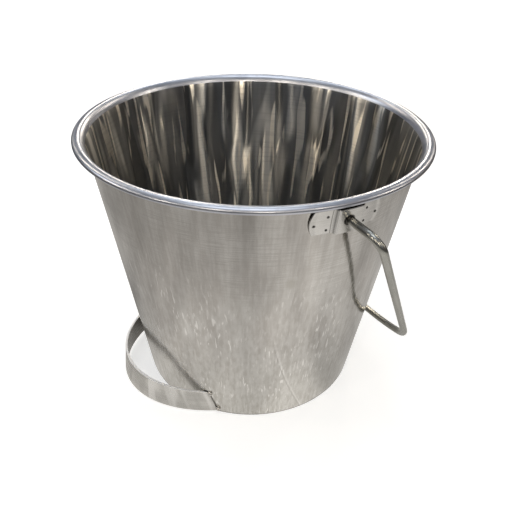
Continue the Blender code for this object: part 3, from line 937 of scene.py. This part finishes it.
def strap_point(turn, z, inset):
    """The strap at a turn round the oval, a height and a distance in from its outer face."""
    lean = STRAP_SPLAY * np.cos(turn) ** 2 - STRAP_TUCK * np.sin(turn) ** 2
    outward = lean * (STRAP_TOP - z) / (STRAP_TOP - STRAP_BOTTOM) - inset
    x = (STRAP_HALF_SPAN + outward) * np.sin(turn)
    y = -(STRAP_REACH + outward) * np.cos(turn)
    return np.stack(np.broadcast_arrays(x, y, z), -1)


def strap_end(z, inset, gap):
    """Turn at which the bar comes to the wall, for each height and inset."""
    near = np.zeros_like(z)
    far = np.full_like(z, STRAP_HALF_TURN)
    for _ in range(END_HALVINGS):
        middle = (near + far) / 2
        point = strap_point(middle, z, inset)
        clear = np.hypot(point[..., 0], point[..., 1]) > wall_radius(z, gap)
        near = np.where(clear, middle, near)
        far = np.where(clear, far, middle)
    return near


def make_strap(material):
    half = (STRAP_TOP - STRAP_BOTTOM) / 2
    loop = bar_loop(half, STRAP_THICKNESS, STRAP_ROUND, STRAP_ACROSS)
    z = STRAP_BOTTOM + half + loop[:, 0]
    inset = STRAP_THICKNESS - loop[:, 1]
    end = strap_end(z, inset, STRAP_END_GAP)
    share = np.linspace(-1, 1, STRAP_STATIONS)
    turn = share[:, None] * end[None, :]
    rings = strap_point(turn, z, inset)
    middle = strap_point(share * end.mean(), STRAP_BOTTOM + half, 0.0)
    length = lengths_along(middle)
    flow = np.stack(np.broadcast_arrays(z, inset, length[:, None]), -1)
    width = lengths_along(loop)
    width = np.append(width, width[-1] + STRAP_THICKNESS)
    strap = loft("tilt_strap_bar", rings, [material], flow, grain_grid(length, width))
    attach(strap, "bucket")
    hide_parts("tilt_strap")


TACK_ROWS = 22
TACK_COLUMNS = 32
TACK_POLE = 0.06  # angle from its axis where the lump's rows start
TACK_SCALE = 0.88


def make_tack(node, material):
    """A lump of weld metal between the bar's end and the wall."""
    low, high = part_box(node)
    centre = np.array((low + high) / 2)
    size = np.array(high - low) / 2
    down = np.linspace(TACK_POLE, pi - TACK_POLE, TACK_ROWS)
    phase = rng.uniform(0, tau, 6)
    d, r = np.meshgrid(down, np.arange(TACK_COLUMNS) * tau / TACK_COLUMNS, indexing="ij")
    lump = 1 + 0.07 * np.sin(2 * r + phase[0]) * np.sin(d) + 0.06 * np.sin(3 * r + phase[1] + 2 * d)
    lump += 0.04 * np.sin(5 * d + phase[2]) * np.sin(2 * r + phase[3])
    unit = np.stack([np.sin(d) * np.cos(r), np.sin(d) * np.sin(r), np.cos(d)], -1)
    rings = centre + unit * (TACK_SCALE * lump)[..., None] * size
    grain = grain_grid(down, np.arange(TACK_COLUMNS + 1) * tau / TACK_COLUMNS)
    tack = loft(node + "_weld", rings, [material], rings, grain)
    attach(tack, "bucket")
    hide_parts(node)


# ---------------------------------------------------------------- stage

CAMERA_TURN = radians(62.0)
CAMERA_BACK = 0.468887
CAMERA_HEIGHT = 0.422527
CAMERA_PITCH = radians(33.708)
CAMERA_YAW = radians(0.536)
CAMERA_ROLL = radians(1.558)
CAMERA_LENS = 39.80


def make_camera():
    turn = Matrix.Rotation(CAMERA_TURN, 3, "Z")
    place = turn @ Vector((0, -CAMERA_BACK, CAMERA_HEIGHT))
    level = cos(CAMERA_PITCH)
    forward = turn @ Vector((sin(CAMERA_YAW) * level, cos(CAMERA_YAW) * level, -sin(CAMERA_PITCH)))
    right = turn @ Vector((cos(CAMERA_YAW), -sin(CAMERA_YAW), 0))
    up = right.cross(forward)
    across = cos(CAMERA_ROLL) * right + sin(CAMERA_ROLL) * up
    upward = -sin(CAMERA_ROLL) * right + cos(CAMERA_ROLL) * up
    data = bpy.data.cameras.new("photo_view")
    data.sensor_width = 36.0
    data.lens = CAMERA_LENS
    camera = bpy.data.objects.new("photo_view", data)
    bpy.context.scene.collection.objects.link(camera)
    matrix = Matrix((across, upward, -forward)).transposed().to_4x4()
    matrix.translation = place
    camera.matrix_world = matrix
    bpy.context.scene.camera = camera


# Azimuth, elevation, distance, size, power and colour
COOL_PANELS = {
    "overhead": (40, 84, 1.9, (0.9, 0.9), 4.2, (0.92, 0.96, 1.0)),
    "left": (-40, 28, 2.3, (0.7, 0.5), 2.4, (0.85, 0.92, 1.0)),
    "back": (250, 52, 2.4, (1.6, 0.5), 5.0, (0.88, 0.94, 1.0)),
}
# Azimuth, elevation and brightness
WARM_LAMPS = (
    (8, 26, 1.0),
    (40, 32, 1.2),
    (70, 24, 1.2),
    (104, 33, 0.8),
    (150, 24, 1.1),
    (196, 30, 1.0),
    (228, 18, 1.3),
    (252, 27, 1.1),
    (290, 34, 0.9),
    (334, 25, 1.0),
)
WARM_DISTANCE = 2.6
WARM_SIZE = (0.26, 0.90)
WARM_POWER = 4.8
WARM_COLOUR = (1.0, 0.885, 0.72)
LAMP_TARGET = Vector((0, 0, 0.15))


def panel(name, azimuth, elevation, distance, size, power, colour):
    """A rectangular lamp that faces the bucket."""
    data = bpy.data.lights.new(name, "AREA")
    data.shape = "RECTANGLE"
    data.size, data.size_y = size
    data.energy = power
    data.color = colour
    lamp = bpy.data.objects.new(name, data)
    a, e = radians(azimuth), radians(elevation)
    back = Vector((sin(a) * cos(e), -cos(a) * cos(e), sin(e)))
    lamp.location = LAMP_TARGET + back * distance
    lamp.visible_camera = False
    lamp.rotation_mode = "QUATERNION"
    lamp.rotation_quaternion = (-back).to_track_quat("-Z", "Y")
    bpy.context.scene.collection.objects.link(lamp)


def make_lights():
    """A soft panel overhead, cool side panels and a ring of low warm lamps."""
    for name, values in COOL_PANELS.items():
        panel(name, *values)
    for k, (azimuth, elevation, share) in enumerate(WARM_LAMPS):
        power = WARM_POWER * share
        panel(f"warm_{k}", azimuth, elevation, WARM_DISTANCE, WARM_SIZE, power, WARM_COLOUR)


BROWN_SIDE = (0.17, 0.98, 0.0)


def make_world():
    """A dim room, with a bright white backdrop for the camera's own rays."""
    world = bpy.data.worlds.new("studio")
    world.use_nodes = True
    tree = world.node_tree
    tree.nodes.clear()
    direction = add(tree, "ShaderNodeTexCoord").outputs["Generated"]
    height = add(tree, "ShaderNodeSeparateXYZ", {0: direction}).outputs[2]
    brown_side = ranged(tree, dot(tree, direction, BROWN_SIDE), 0.35, 0.8)
    blots = noise(tree, direction, 3.6, 1, 0.5)
    layers = (
        (ranged(tree, height, 0.03, 0.25), (0.12, 0.13, 0.155)),
        (product(tree, brown_side, ranged(tree, height, 0.30, 0.10)), (0.14, 0.095, 0.06)),
        (ranged(tree, height, 0.72, 0.96), (0.42, 0.45, 0.50)),
        (ranged(tree, blots, 0.52, 0.62, 0.0, 0.7), (0.46, 0.49, 0.52)),
        (add(tree, "ShaderNodeLightPath").outputs["Is Camera Ray"], (1, 1, 1)),
    )
    room = layered(tree, (0.035, 0.035, 0.05), layers)
    surface = add(tree, "ShaderNodeBackground", {"Color": room})
    add(tree, "ShaderNodeOutputWorld", {"Surface": surface.outputs[0]})
    bpy.context.scene.world = world


FLOOR_REACH = 9.0
FLOOR_GAP = 0.0002  # below the bucket's foot
# Heading, half width in degrees, brightness added near the foot and further out
FLOOR_POOLS = (
    (-4, 26, 0.24, 0.25),
    (26, 26, -0.05, 0.30),
    (-62, 45, 0.14, 0.08),
    (-150, 46, -0.32, -0.02),
    (70, 34, -0.06, 0.10),
    (160, 60, 0.16, 0.16),
)


def seen_floor(tree, place, away):
    """The floor as the camera sees it: matt, pale, and lit from within towards its far edge."""
    soft = noise(tree, place, 2.2, 3, 0.5)
    colour = layered(tree, (0.70, 0.70, 0.695), [(soft, (0.74, 0.74, 0.735))])
    matt = add(tree, "ShaderNodeBsdfDiffuse", {"Color": colour})
    strength = ranged(tree, away, 0.5, 2.5, 0.62, 1.0)
    glow = add(tree, "ShaderNodeEmission", {"Color": (1, 1, 0.995, 1), "Strength": strength})
    return add(tree, "ShaderNodeAddShader", {0: matt.outputs[0], 1: glow.outputs[0]})


def mirrored_floor(tree, place, away):
    """The floor as the steel mirrors it: dimmer, with soft pools of light round the foot."""
    heading = add(tree, "ShaderNodeVectorMath", {0: place}, operation="NORMALIZE").outputs[0]
    level = ranged(tree, away, 0.13, 0.40, 0.56, 0.38)
    for turn, half_width, near, far in FLOOR_POOLS:
        axis = (cos(radians(turn)), sin(radians(turn)), 0)
        share = ranged(tree, dot(tree, heading, axis), cos(radians(half_width)), 1.0)
        pool = product(tree, share, ranged(tree, away, 0.14, 0.30, near, far))
        level = maths(tree, "ADD", level, pool)
    grain = noise(tree, place, 14, 3, 0.5)
    level = product(tree, level, ranged(tree, grain, 0.35, 0.65, 0.90, 1.10))
    level = product(tree, level, ranged(tree, away, 0.44, 0.72, 1.0, 0.12))
    brown_side = ranged(tree, dot(tree, heading, BROWN_SIDE), 0.72, 0.90)
    brown = product(tree, brown_side, ranged(tree, away, 0.41, 0.47))
    tint = layered(tree, (1.0, 0.965, 0.915), [(brown, (0.84, 0.79, 0.73))])
    return add(tree, "ShaderNodeEmission", {"Color": tint, "Strength": level})


def floor_material():
    material = bpy.data.materials.new("pale_floor")
    material.use_nodes = True
    tree = material.node_tree
    tree.nodes.clear()
    place = add(tree, "ShaderNodeTexCoord").outputs["Object"]
    away = add(tree, "ShaderNodeVectorMath", {0: place}, operation="LENGTH").outputs["Value"]
    inputs = {
        0: add(tree, "ShaderNodeLightPath").outputs["Is Glossy Ray"],
        1: seen_floor(tree, place, away).outputs[0],
        2: mirrored_floor(tree, place, away).outputs[0],
    }
    mixed = add(tree, "ShaderNodeMixShader", inputs)
    add(tree, "ShaderNodeOutputMaterial", {"Surface": mixed.outputs[0]})
    return material


def make_floor():
    """A wide pale floor just under the bucket's foot."""
    corners = ((-1, -1), (1, -1), (1, 1), (-1, 1))
    points = [(x * FLOOR_REACH, y * FLOOR_REACH, -FLOOR_GAP) for x, y in corners]
    floor = mesh_object("floor", points, [[0, 1, 2, 3]], [floor_material()])


def main():
    make_camera()
    make_world()
    make_lights()
    make_floor()
    make_wall([outside_material(), rim_material(), inside_material()])
    make_base(base_material())
    ear = ear_material()
    make_ear("ear_plate_right", "ear_right", 0.0, ear)
    make_ear("ear_plate_left", "ear_left", pi, ear)
    make_bail(bail_material())
    make_strap(strap_material())
    weld = weld_material()
    for end in ("right", "left"):
        for level in ("top", "bottom"):
            make_tack(f"strap_tack_{end}_{level}", weld)
    bpy.context.scene.view_settings.view_transform = "Standard"


main()
